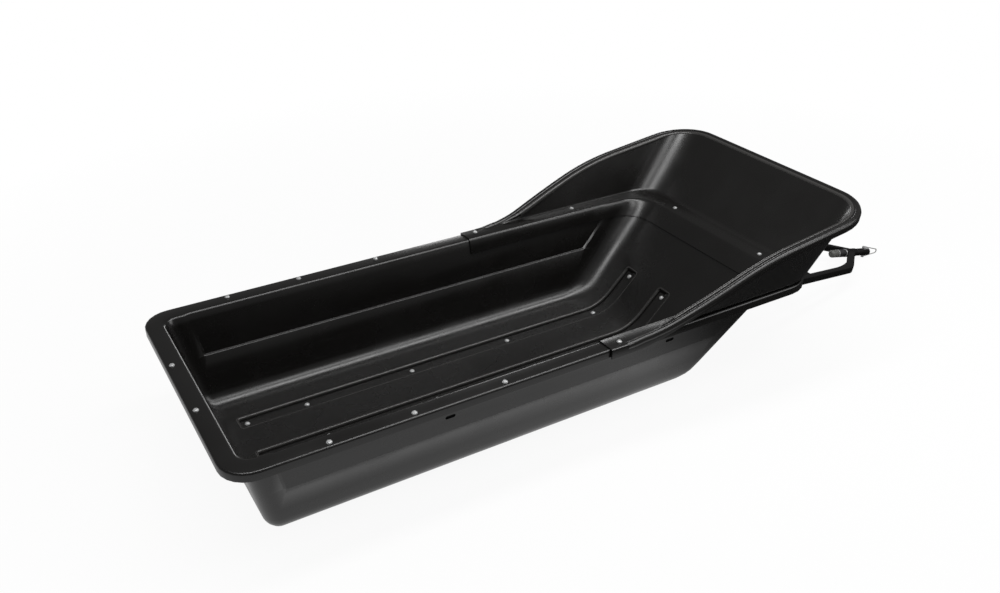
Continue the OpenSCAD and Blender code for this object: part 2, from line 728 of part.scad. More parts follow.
module hitch_pin() {
    head_h = 6;
    color("#c3c5c7") place() on_tongue() translate([pin_u, 0, 0]) {
        translate([0, 0, -pin_low]) cylinder(d = pin_d, h = pin_low + pin_high + eps, $fn = round_fn);
        translate([0, 0, pin_high]) cylinder(d = pin_head_d, h = head_h, $fn = round_fn);
    }
}

// Angle on a circle of centre c and radius r where a line from point p touches it, on the
// side that p lies above or below
function touch_angle(p, c, r) =
    let (v = p - c) atan2(v[1], v[0]) - sign(v[1]) * acos(r / norm(v));

// The locking wire: from the pin's head forward over the tube's end and back underneath
module lock_wire() {
    high = [pin_head_d / 2 + 2 * seat_gap, pin_high + wire_d];
    low = [pin_d / 2 + 2 * seat_gap, 3 - pin_low];
    hub = [tip_u - pin_u, 0];
    a = touch_angle(high, hub, wire_tip_r);
    b = touch_angle(low, hub, wire_tip_r);
    color("#c3c5c7") place() on_tongue() translate([pin_u, 0, 0]) {
        wire_run(high, hub + wire_tip_r * [cos(a), sin(a)]);
        wire_run(low, hub + wire_tip_r * [cos(b), sin(b)]);
        translate([hub[0], 0, 0]) rotate([90, 0, 0]) rotate([0, 0, b])
            rotate_extrude(angle = a - b, $fn = round_fn)
                translate([wire_tip_r, 0]) circle(d = wire_d, $fn = 24);
    }
}

// A straight run of the wire, a little thinner than its bend and sunk into it
module wire_run(a, b) {
    run = b - a;
    thin = 0.4;
    sink = 1.5;
    translate([a[0], 0, a[1]]) rotate([0, 90 - atan2(run[1], run[0]), 0])
        cylinder(d = wire_d - thin, h = norm(run) + sink, $fn = 24);
}

// Moves a piece from the rear rim's edge to the middle of the whole length
module place() {
    translate([-mid_x, 0, 0]) children();
}

tub();
cowl();
runner(1);  // runner_left
runner(0);  // runner_centre
runner(-1);  // runner_right
bracket(1);  // bracket_left
bracket(-1);  // bracket_right
hinge_bolt(1);  // hinge_bolt_left
hinge_bolt(-1);  // hinge_bolt_right
arm(1);  // arm_left
arm(-1);  // arm_right
cross_brace();
swivel_sleeve();
swivel_shaft();
cushion();
end_cap();
washer_front();
washer_rear();
coupler_tube();
hitch_pin();
lock_wire();
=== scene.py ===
"""Looks of a towed snow sled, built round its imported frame.

The tub and the cowl are black moulded polyethylene, the tongue is powder coated steel,
and the fasteners are zinc plated. Lengths are in metres in the frame and in
millimetres in the property groups. X runs forward to the hitch, Z is up.
"""

import math

import bpy
from bpy.props import FloatProperty, PointerProperty, StringProperty
from mathutils import Matrix, Vector
from mathutils.bvhtree import BVHTree


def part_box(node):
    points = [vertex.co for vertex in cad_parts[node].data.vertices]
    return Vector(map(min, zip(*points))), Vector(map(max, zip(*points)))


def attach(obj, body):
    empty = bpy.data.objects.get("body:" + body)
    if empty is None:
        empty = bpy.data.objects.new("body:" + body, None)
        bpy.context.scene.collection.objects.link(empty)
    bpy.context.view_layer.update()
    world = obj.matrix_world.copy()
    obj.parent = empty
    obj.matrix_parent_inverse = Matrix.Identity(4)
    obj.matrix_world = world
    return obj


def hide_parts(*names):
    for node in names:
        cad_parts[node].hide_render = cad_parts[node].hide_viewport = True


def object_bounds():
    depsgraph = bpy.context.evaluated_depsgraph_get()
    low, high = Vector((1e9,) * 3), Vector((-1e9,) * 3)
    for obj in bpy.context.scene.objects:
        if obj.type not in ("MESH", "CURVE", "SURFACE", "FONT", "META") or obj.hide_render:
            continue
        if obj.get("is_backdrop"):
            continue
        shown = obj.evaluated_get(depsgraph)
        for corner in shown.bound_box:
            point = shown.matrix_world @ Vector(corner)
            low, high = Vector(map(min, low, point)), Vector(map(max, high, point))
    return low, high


bl_info = {
    "name": "Snow Sled Looks",
    "version": (1, 0, 0),
    "blender": (4, 5, 0),
    "location": "View3D > Sidebar > Sled",
    "description": "Skins, fasteners, finishes and stage of a towed snow sled",
    "category": "Object",
}

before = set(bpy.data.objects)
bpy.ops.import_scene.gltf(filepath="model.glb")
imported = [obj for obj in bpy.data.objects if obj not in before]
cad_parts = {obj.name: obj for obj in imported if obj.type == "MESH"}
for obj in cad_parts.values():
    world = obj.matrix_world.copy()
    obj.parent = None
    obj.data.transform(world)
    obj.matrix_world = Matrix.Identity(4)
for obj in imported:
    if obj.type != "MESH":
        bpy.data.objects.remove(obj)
CAD_LOW, CAD_HIGH = (Vector(corner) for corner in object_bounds())
REAR_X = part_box("tub")[0].x
RIM_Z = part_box("tub")[1].z
MM = 0.001


# Materials


def linear(hex_colour):
    """An sRGB hex colour as linear RGBA, which is what a socket takes."""
    parts = [int(hex_colour[i:i + 2], 16) / 255 for i in (1, 3, 5)]
    return tuple(p / 12.92 if p <= 0.04045 else ((p + 0.055) / 1.055) ** 2.4
                 for p in parts) + (1.0,)


def add_node(material, kind, settings=None, inputs=None, links=None):
    """A node with its settings, its input values and its links from (node, output)."""
    node = material.node_tree.nodes.new(kind)
    for name, value in (settings or {}).items():
        setattr(node, name, value)
    for name, value in (inputs or {}).items():
        node.inputs[name].default_value = value
    for name, (source, output) in (links or {}).items():
        material.node_tree.links.new(source.outputs[output], node.inputs[name])
    return node


def new_material(name, **shader_inputs):
    """A material of that name and its Principled shader with these input values."""
    material = bpy.data.materials.new(name)
    material.use_nodes = True
    shader = material.node_tree.nodes["Principled BSDF"]
    for socket, value in shader_inputs.items():
        shader.inputs[socket.replace("_", " ")].default_value = value
    return material, shader


def feed(material, source, output, target, socket):
    material.node_tree.links.new(source.outputs[output], target.inputs[socket])


def per_metre(size_mm):
    """The scale of a noise whose features are size_mm across on Object coordinates."""
    return 1.0 / (size_mm * MM)


def add_bump(material, shader, coordinates, size_mm, height_mm, detail=2.0):
    """Surface relief from a noise of one real size and height."""
    noise = add_node(material, "ShaderNodeTexNoise",
                     inputs={"Scale": per_metre(size_mm), "Detail": detail},
                     links={"Vector": (coordinates, "Object")})
    bump = add_node(material, "ShaderNodeBump",
                    inputs={"Distance": height_mm * MM, "Strength": 1.0},
                    links={"Height": (noise, "Fac")})
    feed(material, bump, "Normal", shader, "Normal")
    return bump


def vary_roughness(material, shader, coordinates, size_mm, low, high):
    """Roughness that drifts between two values over patches of size_mm."""
    noise = add_node(material, "ShaderNodeTexNoise",
                     inputs={"Scale": per_metre(size_mm), "Detail": 3.0},
                     links={"Vector": (coordinates, "Object")})
    span = add_node(material, "ShaderNodeMapRange",
                    inputs={"From Min": 0.3, "From Max": 0.7, "To Min": low, "To Max": high},
                    links={"Value": (noise, "Fac")})
    feed(material, span, "Result", shader, "Roughness")


def moulded_sheet(name, colour, low, high):
    # Thermoformed high density polyethylene sheet: its pressed face keeps a soft gloss,
    # with a faint ripple from the stretch of the hot sheet and patches that shine less
    material, shader = new_material(name, Base_Color=linear(colour), IOR=1.54)
    coordinates = add_node(material, "ShaderNodeTexCoord")
    vary_roughness(material, shader, coordinates, 160.0, low, high)
    add_bump(material, shader, coordinates, 40.0, 0.03, detail=0.0)
    return material


def painted_recess_shade(name):
    # The same polyethylene inside a recess: dull, and painted near black as painted shade, so the eye
    # reads the recesses as dark marks, deeper than they are
    material, shader = new_material(name, Base_Color=linear("#060606"), Roughness=0.9, IOR=1.3)
    coordinates = add_node(material, "ShaderNodeTexCoord")
    add_bump(material, shader, coordinates, 1.5, 0.1)
    return material


def powder_coat(name, colour):
    # Powder coated steel: an even matt black with a fine orange peel
    material, shader = new_material(name, Base_Color=linear(colour), IOR=1.3)
    coordinates = add_node(material, "ShaderNodeTexCoord")
    vary_roughness(material, shader, coordinates, 30.0, 0.5, 0.65)
    add_bump(material, shader, coordinates, 1.6, 0.03)
    return material


def zinc_plate(name, colour):
    # Zinc plated steel: bright grey metal, its roughness clouded by handling
    material, shader = new_material(name, Base_Color=linear(colour), Metallic=0.7)
    coordinates = add_node(material, "ShaderNodeTexCoord")
    vary_roughness(material, shader, coordinates, 6.0, 0.3, 0.45)
    add_bump(material, shader, coordinates, 0.8, 0.01)
    return material


def vulcanised_rubber(name, colour):
    # Vulcanised rubber: matt near-black with a dusty sheen and a fine grain
    material, shader = new_material(name, Base_Color=linear(colour), IOR=1.52)
    coordinates = add_node(material, "ShaderNodeTexCoord")
    vary_roughness(material, shader, coordinates, 12.0, 0.6, 0.75)
    add_bump(material, shader, coordinates, 0.9, 0.05)
    return material


def moulded_nylon(name, colour):
    # Injection moulded nylon: pale grey, satin, with a slight unevenness
    material, shader = new_material(name, Base_Color=linear(colour), IOR=1.53)
    coordinates = add_node(material, "ShaderNodeTexCoord")
    vary_roughness(material, shader, coordinates, 14.0, 0.38, 0.5)
    add_bump(material, shader, coordinates, 1.2, 0.02)
    return material


# Mesh helpers


def deselect_all():
    if bpy.context.object and bpy.context.object.mode != "OBJECT":
        bpy.ops.object.mode_set(mode="OBJECT")
    bpy.ops.object.select_all(action="DESELECT")


def make_active(piece):
    deselect_all()
    piece.select_set(True)
    bpy.context.view_layer.objects.active = piece


def apply_all_modifiers(piece):
    make_active(piece)
    for modifier in list(piece.modifiers):
        bpy.ops.object.modifier_apply(modifier=modifier.name)


def finish_piece(piece, body, material):
    """Gives a finished piece its material and body, with its place in its mesh."""
    piece.data.transform(piece.matrix_world)
    piece.matrix_world = Matrix.Identity(4)
    piece.data.materials.clear()
    piece.data.materials.append(material)
    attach(piece, body)


def skin_of(node, name, smooth_deg, bevel_mm=0.0, shape=None):
    """A merged, smoothly shaded copy of a CAD node, which the copy replaces.

    shape, if given, works on the merged copy before its bevel and its shading."""
    piece = bpy.data.objects.new(name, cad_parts[node].data.copy())
    bpy.context.scene.collection.objects.link(piece)
    make_active(piece)
    bpy.ops.mesh.customdata_custom_splitnormals_clear()
    bpy.ops.object.mode_set(mode="EDIT")
    bpy.ops.mesh.select_all(action="SELECT")
    bpy.ops.mesh.remove_doubles(threshold=0.01 * MM)
    bpy.ops.mesh.tris_convert_to_quads(face_threshold=math.radians(1),
                                       shape_threshold=math.radians(60))
    bpy.ops.object.mode_set(mode="OBJECT")
    if shape:
        shape(piece)
    if bevel_mm:
        bevel = piece.modifiers.new("edges", "BEVEL")
        bevel.width = bevel_mm * MM
        bevel.segments = 2
        bevel.limit_method = "ANGLE"
        bevel.angle_limit = math.radians(40)
        apply_all_modifiers(piece)
    bpy.ops.object.shade_smooth_by_angle(angle=math.radians(smooth_deg))
    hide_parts(node)
    return piece


def squeeze(value, middle, half_width, share):
    """Draws a value that lies within half_width of the middle in to this share."""
    offset = value - middle
    return middle + offset * share if abs(offset) <= half_width else value


def crispen_panel(piece, sizes):
    """Draws the side panel's step and its ends together, so that they read as sharp as
    the photo's, while each moved point stays in the plane of its leaning wall."""
    lean = math.tan(math.radians(sizes.side_lean))
    ramp = math.tan(math.radians(sizes.ramp_slope))
    back = math.tan(math.radians(sizes.rear_lean))
    for vertex in piece.data.vertices:
        x = (vertex.co.x - REAR_X) / MM
        y = vertex.co.y / MM
        z = vertex.co.z / MM - sizes.floor_z
        front_end = sizes.ramp_foot + z / ramp - sizes.front_gap - sizes.end_l / 2
        rear_end = sizes.rear_foot - z * back + sizes.rear_gap + sizes.end_l / 2
        reach = sizes.end_l / 2 + 0.5
        if abs(y) < sizes.side_y or z < sizes.step_z - sizes.step_h:
            continue
        if not rear_end - reach <= x <= front_end + reach or z > sizes.top_z:
            continue
        x = squeeze(x, front_end, reach, sizes.crisp)
        x = squeeze(x, rear_end, reach, sizes.crisp)
        step = sizes.step_z + sizes.step_h / 2
        level = squeeze(z, step, sizes.step_h / 2 + 0.5, sizes.crisp)
        x += (level - z) / ramp if abs(x - front_end) < reach else 0.0
        y += math.copysign((level - z) * lean, y)
        vertex.co = (REAR_X + x * MM, y * MM, (level + sizes.floor_z) * MM)


def darken_recesses(piece, sizes, material):
    """Paints the inside of the side walls' recesses near black with a material of its own: painted
    shade.
    """
    piece.data.materials.append(material)
    for polygon in piece.data.polygons:
        corners = [piece.data.vertices[i].co for i in polygon.vertices]
        for x in (sizes.recess_rear_x, sizes.recess_front_x):
            if all(abs(v.y) / MM > sizes.side_y + 20
                   and abs(v.z / MM - sizes.recess_z) < 8
                   and abs((v.x - REAR_X) / MM - x) < 17
                   for v in corners):
                polygon.material_index = 1


def surface_tree(node):
    """A search tree over a CAD node's faces, to set fasteners on them."""
    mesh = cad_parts[node].data
    return BVHTree.FromPolygons([v.co for v in mesh.vertices],
                                [p.vertices for p in mesh.polygons])


def set_down(tree, x, y, top_z):
    """Where a straight drop at (x, y) meets the surface: its place and its normal."""
    place, normal, _, _ = tree.ray_cast(Vector((x, y, top_z)), Vector((0, 0, -1)))
    if place is None:
        raise RuntimeError(f"nothing lies under x {x:.3f}, y {y:.3f}")
    return place, normal


def rounded_outline(x0, x1, y0, y1, radius, spacing):
    """Plan points, counter-clockwise, round a rectangle with rounded corners."""
    points = []
    for cx, cy, start in ((x1 - radius, y1 - radius, 0), (x0 + radius, y1 - radius, 90),
                          (x0 + radius, y0 + radius, 180), (x1 - radius, y0 + radius, 270)):
        for step in range(5):
            angle = math.radians(start + 22.5 * step)
            points.append(Vector((cx + radius * math.cos(angle), cy + radius * math.sin(angle))))
    finer = []
    for first, second in zip(points, points[1:] + points[:1]):
        count = max(1, round((second - first).length / spacing))
        finer += [first.lerp(second, i / count) for i in range(count)]
    return finer


def sweep_bead(name, path, radius, sides=8, closed=True):
    """A round bead along a path of points, with capped ends if the path is open."""
    curve = bpy.data.curves.new(name, "CURVE")
    curve.dimensions = "3D"
    curve.bevel_depth = radius
    curve.bevel_resolution = sides // 4
    spline = curve.splines.new("POLY")
    spline.points.add(len(path) - 1)
    for point, place in zip(spline.points, path):
        point.co = (*place, 1.0)
    spline.use_cyclic_u = closed
    curve.use_fill_caps = not closed
    bead = bpy.data.objects.new(name, curve)
    bpy.context.scene.collection.objects.link(bead)
    make_active(bead)
    bpy.ops.object.convert(target="MESH")
    bpy.ops.object.shade_smooth()
    return bpy.context.object


def cowl_edge(tree, origin, outward, sizes):
    """The cowl's edge along a plan line from origin: its outer and its inner corner.

    The outer corner lies over the lip, in the flat edge's plane. The inner one is where
    the sheet has left that plane by the inner roll's drop."""
    def height(reach):
        spot = origin + outward * reach
        place = tree.ray_cast(Vector((spot.x, spot.y, CAD_HIGH.z + 0.1)), Vector((0, 0, -1)))[0]
        return place.z if place else None

    def settle(low, high, holds):
        for _ in range(14):
            half = (low + high) / 2
            low, high = (half, high) if holds(half) else (low, half)
        return high

    reach = 0.03
    while height(reach) is None:
        reach -= 2 * MM
    outer = settle(reach, reach + 2 * MM, lambda at: height(at) is not None)
    near, far = outer - 12 * MM, outer - 20 * MM
    slope = (height(near) - height(far)) / (near - far)

    def stays(at):
        level = height(at)
        plane = height(near) + slope * (at - near)
        return level is not None and level > plane - sizes.inner_drop * MM

    reach = far
    while stays(reach):
        reach -= 2 * MM
    inner = settle(reach, reach + 2 * MM, lambda at: not stays(at))
    corners = []
    for at in (outer, inner):
        spot = origin + outward * at
        corners.append(Vector((spot.x, spot.y, height(near) + slope * (at - near))))
    return corners


def cowl_edge_path(tree, sizes):
    """The cowl's outer and inner edge points, from its left rear round the nose."""
    high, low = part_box("cowl")[1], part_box("cowl")[0]
    radius = sizes.nose_r * MM
    centre = Vector((high.x - radius, high.y - radius))
    lines = []
    count = 110
    start = low.x + sizes.roll_rear * MM
    for i in range(count):
        x = start + (centre.x - start) * i / count
        lines.append((Vector((x, high.y)), Vector((0, 1))))
    for i in range(46):
        angle = math.radians(90 - 2 * i)
        outward = Vector((math.cos(angle), math.sin(angle)))
        lines.append((centre + outward * radius, outward))
    for i in range(1, 9):
        lines.append((Vector((high.x, centre.y * (1 - i / 8))), Vector((1, 0))))
    left = [(*cowl_edge(tree, *line, sizes), line[1]) for line in lines]
    mirror = Matrix.Scale(-1, 3, (0, 1, 0))
    right = [(mirror @ outer, mirror @ inner, Vector((out.x, -out.y)))
             for outer, inner, out in reversed(left[:-1])]
    return left + right


def evened(path, rounds):
    """The open path with each inner point drawn to the mean of its neighbours."""
    for _ in range(rounds):
        path = ([path[0]]
                + [(before + 2 * point + after) / 4
                   for before, point, after in zip(path, path[1:], path[2:])]
                + [path[-1]])
    return path


def copy_to(pattern, name, place, normal):
    """A copy of a piece modelled at the origin along +Z, set on a surface."""
    piece = pattern.copy()
    piece.data = pattern.data.copy()
    piece.name = name
    bpy.context.scene.collection.objects.link(piece)
    turn = Vector((0, 0, 1)).rotation_difference(normal)
    piece.matrix_world = Matrix.Translation(place) @ turn.to_matrix().to_4x4()
    return piece


# Sizes


class SledFinish(bpy.types.PropertyGroup):
    tub_colour: StringProperty(
        name="Tub colour", description="Colour of the tub's sheet", default="#100f0e")
    cowl_colour: StringProperty(
        name="Cowl colour", description="Colour of the cowl's sheet", default="#11100f")
    # The edge colour is a painted highlight: paler than the sheet, it stands in for the bright lines
    # that light draws along the rolled edges
    edge_highlight_colour: StringProperty(
        name="Edge highlight colour", description="Colour of the rolled edges, paler than the sheet",
        default="#383736")
    steel_colour: StringProperty(
        name="Steel colour", description="Colour of the tongue's coating", default="#0a0909")
    zinc_colour: StringProperty(
        name="Zinc colour", description="Colour of the plated fasteners", default="#dfe0e0")
    rubber_colour: StringProperty(
        name="Rubber colour", description="Colour of the cushion", default="#1f1f20")
    cap_colour: StringProperty(
        name="Cap colour", description="Colour of the coupler's end cap", default="#5c5d59")
    wire_colour: StringProperty(
        name="Wire colour", description="Colour of the locking wire", default="#c4c4c2")
    smooth_deg: FloatProperty(
        name="Smoothing angle", description="Edges flatter than this are shaded smooth",
        default=38.0, min=10.0, max=80.0)


class TubSizes(bpy.types.PropertyGroup):
    floor_z: FloatProperty(
        name="Floor", description="Height of the tub's floor above the ground, mm",
        default=21.3, min=15.0, max=30.0)
    side_lean: FloatProperty(
        name="Side lean", description="Lean of the side walls from upright, degrees",
        default=9.0, min=6.0, max=12.0)
    rear_lean: FloatProperty(
        name="Rear lean", description="Lean of the rear wall from upright, degrees",
        default=11.3, min=6.0, max=14.0)
    ramp_slope: FloatProperty(
        name="Ramp slope", description="Slope of the front ramp, degrees",
        default=44.5, min=38.0, max=50.0)
    ramp_foot: FloatProperty(
        name="Ramp foot", description="Distance from the rear rim to where floor and ramp meet, mm",
        default=1595.45, min=1400.0, max=1800.0)
    rear_foot: FloatProperty(
        name="Rear foot", description="Distance from the rear rim to where floor and rear wall meet, mm",
        default=118.94, min=90.0, max=150.0)
    rear_gap: FloatProperty(
        name="Rear gap", description="Distance from the rear wall to the side panel, mm",
        default=62.0, min=50.0, max=90.0)
    front_gap: FloatProperty(
        name="Front gap", description="Distance from the ramp to the side panel, mm",
        default=130.0, min=110.0, max=170.0)
    end_l: FloatProperty(
        name="Panel ends", description="Length over which the panel's ends blend, mm",
        default=24.0, min=16.0, max=36.0)
    step_z: FloatProperty(
        name="Step", description="Height of the panel's step above the floor, mm",
        default=161.0, min=140.0, max=190.0)
    step_h: FloatProperty(
        name="Step height", description="Height over which the step blends, mm",
        default=12.0, min=8.0, max=20.0)
    top_z: FloatProperty(
        name="Panel top", description="Height above the floor up to which the panel is worked, mm",
        default=300.0, min=280.0, max=312.0)
    side_y: FloatProperty(
        name="Side", description="Half the width inside which no side wall lies, mm",
        default=355.0, min=340.0, max=365.0)
    crisp: FloatProperty(
        name="Crispness", description="Share of the blends' width that the finished edges keep",
        default=0.3, min=0.1, max=1.0)
    channel_w: FloatProperty(
        name="Channel width", description="Width of a floor channel, mm",
        default=57.0, min=44.0, max=64.0)
    channel_x0: FloatProperty(
        name="Channel rear", description="Distance from the rear rim to the channels, mm",
        default=192.0, min=180.0, max=240.0)
    channel_x1: FloatProperty(
        name="Channel front", description="Distance from the rear rim to the channels' front ends, mm",
        default=1723.9, min=1600.0, max=1800.0)
    edge_r: FloatProperty(
        name="Channel edge", description="Radius of the channels' rolled edges, mm",
        default=7.0, min=1.0, max=9.0)
    edge_sink: FloatProperty(
        name="Edge sink", description="Depth of the rolled edges' centre in the sheet, mm",
        default=6.4, min=0.0, max=9.0)
    edge_out: FloatProperty(
        name="Edge offset", description="Distance of the rolled edges from the channel, mm",
        default=2.8, min=0.5, max=4.0)
    recess_z: FloatProperty(
        name="Recess height", description="Height of the recesses above the ground, mm",
        default=244.3, min=220.0, max=280.0)
    recess_rear_x: FloatProperty(
        name="Rear recess", description="Distance from the rear rim to the rear recesses, mm",
        default=640.0, min=500.0, max=700.0)
    recess_front_x: FloatProperty(
        name="Front recess", description="Distance from the rear rim to the front recesses, mm",
        default=1421.0, min=1300.0, max=1450.0)


class CowlSizes(bpy.types.PropertyGroup):
    nose_r: FloatProperty(
        name="Nose corner", description="Corner radius of the nose in plan, mm",
        default=165.0, min=100.0, max=200.0)
    roll_rear: FloatProperty(
        name="Roll's start", description="Distance from the cowl's rear to its rolled edge, mm",
        default=60.0, min=10.0, max=200.0)
    inner_rear: FloatProperty(
        name="Inner roll's start", description="Distance from the cowl's rear to its inner roll, mm",
        default=240.0, min=150.0, max=400.0)
    outer_r: FloatProperty(
        name="Outer roll", description="Radius of the cowl's outer rolled edge, mm",
        default=12.0, min=3.0, max=14.0)
    outer_sink: FloatProperty(
        name="Outer sink", description="Depth of the outer roll's centre in the edge, mm",
        default=10.4, min=2.0, max=13.0)
    inner_r: FloatProperty(
        name="Inner roll", description="Radius of the cowl's inner rolled edge, mm",
        default=9.0, min=2.0, max=12.0)
    inner_sink: FloatProperty(
        name="Inner sink", description="Depth of the inner roll's centre under the edge, mm",
        default=8.0, min=1.0, max=12.0)
    inner_out: FloatProperty(
        name="Inner offset", description="Distance of the inner roll's centre outside the bend, mm",
        default=4.0, min=0.0, max=8.0)
    inner_drop: FloatProperty(
        name="Inner drop", description="Drop from the flat edge where the inner roll lies, mm",
        default=2.5, min=1.0, max=6.0)


class ScrewSizes(bpy.types.PropertyGroup):
    head_d: FloatProperty(
        name="Head", description="Diameter of a screw's head, mm", default=13.0, min=8.0, max=18.0)
    head_h: FloatProperty(
        name="Head height", description="Height of a screw's head, mm", default=3.2, min=1.5, max=6.0)
    washer_d: FloatProperty(
        name="Washer", description="Diameter of the washer, mm", default=16.0, min=10.0, max=24.0)
    side_inset: FloatProperty(
        name="Side inset", description="Rim screws' distance from the rim's outer edge, mm",
        default=19.3, min=12.0, max=30.0)
    rear_inset: FloatProperty(
        name="Rear inset", description="Rear screws' distance from the rim's rear edge, mm",
        default=19.0, min=12.0, max=30.0)
    rear_half_span: FloatProperty(
        name="Rear half span", description="Rear screws' distance from the middle, mm",
        default=124.0, min=60.0, max=300.0)
    channel_pitch: FloatProperty(
        name="Channel pitch", description="Distance between the floor's channels, mm",
        default=189.0, min=160.0, max=200.0)


class StageSizes(bpy.types.PropertyGroup):
    lens: FloatProperty(
        name="Lens", description="Focal length on a 36 mm wide sensor, mm",
        default=34.29, min=20.0, max=85.0)
    camera_pitch: FloatProperty(
        name="Camera pitch", description="Tilt of the view from straight down, degrees",
        default=60.38, min=30.0, max=90.0)
    camera_turn: FloatProperty(
        name="Camera turn", description="Turn of the view about Z, degrees",
        default=-30.83, min=-180.0, max=180.0)
    floor_size: FloatProperty(
        name="Floor", description="Side of the square floor", default=40.0, min=10.0, max=100.0,
        subtype="DISTANCE", unit="LENGTH")


# Pieces


class SLED_OT_tub(bpy.types.Operator):
    """Gives the tub its moulded skin"""
    bl_idname = "sled.tub"
    bl_label = "Tub"

    def execute(self, context):
        looks = context.scene.sled_finish
        sheet = moulded_sheet("thermoformed_polyethylene_tub", looks.tub_colour, 0.22, 0.32)
        sizes = context.scene.sled_tub
        tub = skin_of("tub", "tub_skin", looks.smooth_deg,
                      shape=lambda piece: crispen_panel(piece, sizes))
        finish_piece(tub, "sled", sheet)
        # The recesses' near-black material is painted shade
        darken_recesses(tub, sizes, painted_recess_shade("recess_painted_shade"))
        return {"FINISHED"}


class SLED_OT_channels(bpy.types.Operator):
    """Rolls the moulded edge round each floor channel"""
    bl_idname = "sled.channels"
    bl_label = "Channel edges"

    def execute(self, context):
        sizes = context.scene.sled_tub
        looks = context.scene.sled_finish
        # The channels' rolled edges take the paler edge colour, a painted highlight
        sheet = moulded_sheet("channel_edges_painted_highlight", looks.edge_highlight_colour, 0.2, 0.28)
        tree = surface_tree("tub")
        half = (sizes.channel_w / 2 + sizes.edge_out) * MM
        pitch = context.scene.sled_screws.channel_pitch * MM
        for number, channel in enumerate((-1, 0, 1)):
            outline = rounded_outline(
                REAR_X + (sizes.channel_x0 - sizes.edge_out) * MM,
                REAR_X + (sizes.channel_x1 + sizes.edge_out) * MM,
                channel * pitch - half, channel * pitch + half, 10 * MM, 12 * MM)
            path = []
            for spot in outline:
                place, normal = set_down(tree, spot.x, spot.y, CAD_HIGH.z + 0.1)
                path.append(place - normal * sizes.edge_sink * MM)
            bead = sweep_bead(f"channel_edge_{number}", path, sizes.edge_r * MM)
            finish_piece(bead, "sled", sheet)
        return {"FINISHED"}


class SLED_OT_cowl(bpy.types.Operator):
    """Gives the cowl its moulded skin"""
    bl_idname = "sled.cowl"
    bl_label = "Cowl"

    def execute(self, context):
        looks = context.scene.sled_finish
        sheet = moulded_sheet("thermoformed_polyethylene_cowl", looks.cowl_colour, 0.22, 0.32)
        finish_piece(skin_of("cowl", "cowl_skin", looks.smooth_deg), "sled", sheet)
        sizes = context.scene.sled_cowl
        # The inner roll takes the paler edge colour, a painted highlight; the outer roll keeps the
        # cowl's sheet
        highlight_sheet = moulded_sheet("cowl_roll_painted_highlight", looks.edge_highlight_colour, 0.2, 0.28)
        edges = cowl_edge_path(surface_tree("cowl"), sizes)
        inner_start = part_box("cowl")[0].x + sizes.inner_rear * MM
        for name, index, radius, sink, aside, finish in (
                ("cowl_outer_roll", 0, sizes.outer_r, sizes.outer_sink, -sizes.outer_sink, sheet),
                ("cowl_inner_roll", 1, sizes.inner_r, sizes.inner_sink, sizes.inner_out, highlight_sheet)):
            path = []
            for edge in edges:
                if index and edge[0].x < inner_start:
                    continue
                path.append(edge[index] + Vector((edge[2].x * aside, edge[2].y * aside, -sink)) * MM)
            path = evened(path, 4)
            roll = sweep_bead(name, path, radius * MM, sides=16, closed=False)
            finish_piece(roll, "sled", finish)
        return {"FINISHED"}


class SLED_OT_runners(bpy.types.Operator):
    """Gives the wear runners their finish"""
    bl_idname = "sled.runners"
    bl_label = "Runners"

    def execute(self, context):
        looks = context.scene.sled_finish
        bar = moulded_sheet("extruded_polyethylene_runner", looks.tub_colour, 0.45, 0.6)
        for side in ("left", "centre", "right"):
            piece = skin_of(f"runner_{side}", f"runner_skin_{side}", 30.0, bevel_mm=1.5)
            finish_piece(piece, "sled", bar)
        return {"FINISHED"}


class SLED_OT_tongue(bpy.types.Operator):
    """Gives the tongue, its brackets and its bolts their finish"""
    bl_idname = "sled.tongue"
    bl_label = "Tongue"

    def execute(self, context):
        looks = context.scene.sled_finish
        coat = powder_coat("powder_coated_steel", looks.steel_colour)
        zinc = zinc_plate("zinc_plated_steel", looks.zinc_colour)
        for side in ("left", "right"):
            finish_piece(skin_of(f"arm_{side}", f"arm_skin_{side}", 40.0, bevel_mm=1.2),
                         "tongue", coat)
            finish_piece(skin_of(f"bracket_{side}", f"bracket_skin_{side}", 40.0, bevel_mm=0.8),
                         "sled", coat)
            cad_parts[f"hinge_bolt_{side}"].data.materials.clear()
            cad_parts[f"hinge_bolt_{side}"].data.materials.append(zinc)
        finish_piece(skin_of("cross_brace", "brace_skin", 40.0, bevel_mm=1.2),
                     "tongue", coat)
        finish_piece(skin_of("swivel_sleeve", "sleeve_skin", 40.0, bevel_mm=0.8),
                     "tongue", coat)
        return {"FINISHED"}


class SLED_OT_coupler(bpy.types.Operator):
    """Gives the swivel coupler its finish"""
    bl_idname = "sled.coupler"
    bl_label = "Coupler"

    def execute(self, context):
        looks = context.scene.sled_finish
        coat = powder_coat("powder_coated_tube", looks.steel_colour)
        zinc = zinc_plate("zinc_plated_hitch_steel", looks.zinc_colour)
        rubber = vulcanised_rubber("vulcanised_rubber", looks.rubber_colour)
        nylon = moulded_nylon("moulded_nylon_cap", looks.cap_colour)
        for node, slot, material in (
                ("coupler_tube", "tongue_steel", coat),
                ("cushion", "cushion_rubber", rubber),
                ("end_cap", "cap_grey", nylon),
                ("washer_front", "zinc_steel", zinc),
                ("washer_rear", "zinc_steel", zinc),
                ("hitch_pin", "zinc_steel", zinc)):
            piece = skin_of(node, node + "_skin", 40.0, bevel_mm=0.6)
            finish_piece(piece, "coupler", material)
        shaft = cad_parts["swivel_shaft"].data
        shaft.materials.clear()
        shaft.materials.append(zinc)
        wire = skin_of("lock_wire", "lock_wire_skin", 60.0)
        finish_piece(wire, "coupler",
                     zinc_plate("dulled_spring_wire", looks.wire_colour))
        return {"FINISHED"}


